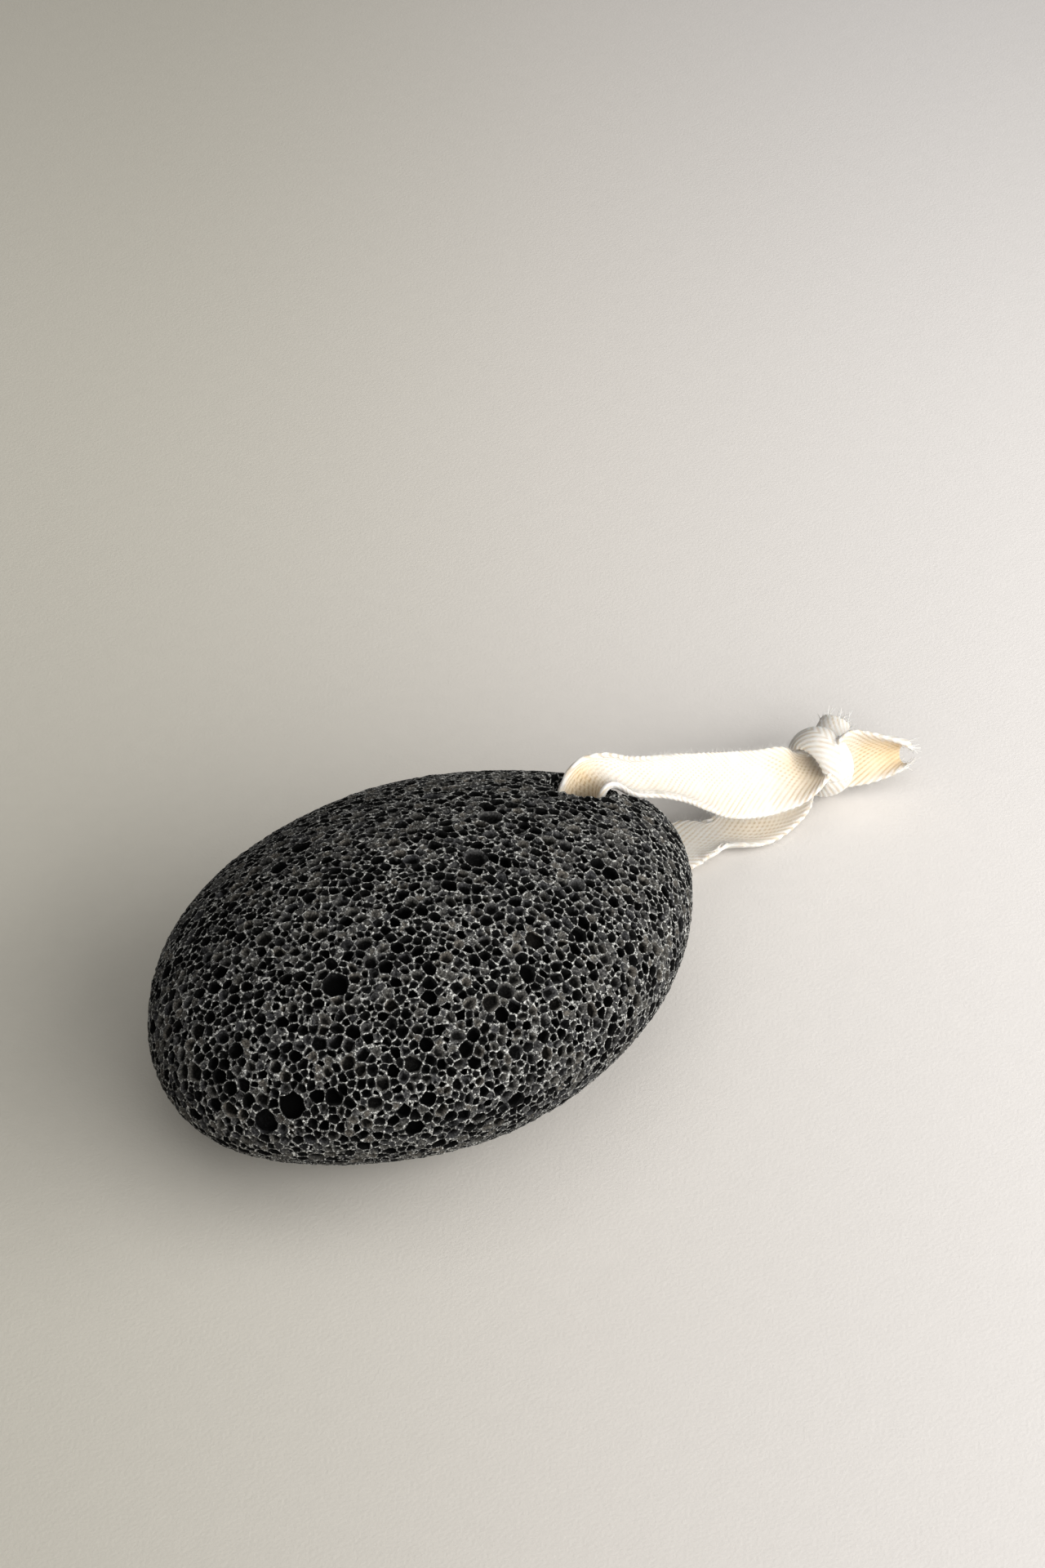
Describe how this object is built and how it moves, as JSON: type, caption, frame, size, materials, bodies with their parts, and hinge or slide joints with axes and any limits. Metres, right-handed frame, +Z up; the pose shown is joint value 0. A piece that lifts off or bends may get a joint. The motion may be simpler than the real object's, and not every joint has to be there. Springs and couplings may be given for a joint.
{
  "type": "pumice stone",
  "caption": "Egg-shaped dark pumice foot stone, pitted all over, with a drilled hole near one end and a knotted loop of cotton twill tape to hang it by.",
  "frame": {"origin": "middle of the stone's bounding box at the surface it rests on", "axes": "+X along the stone towards the end with the hole and the tape, +Z up through the stone's thickness"},
  "size_m": [0.1711, 0.075, 0.0452],
  "materials": {
    "pumice": "porous matt",
    "cotton": "woven matt"
  },
  "bodies": {
    "root": {"pumice_stone": "pumice", "cotton_tape": "cotton"}
  },
  "joints": []
}
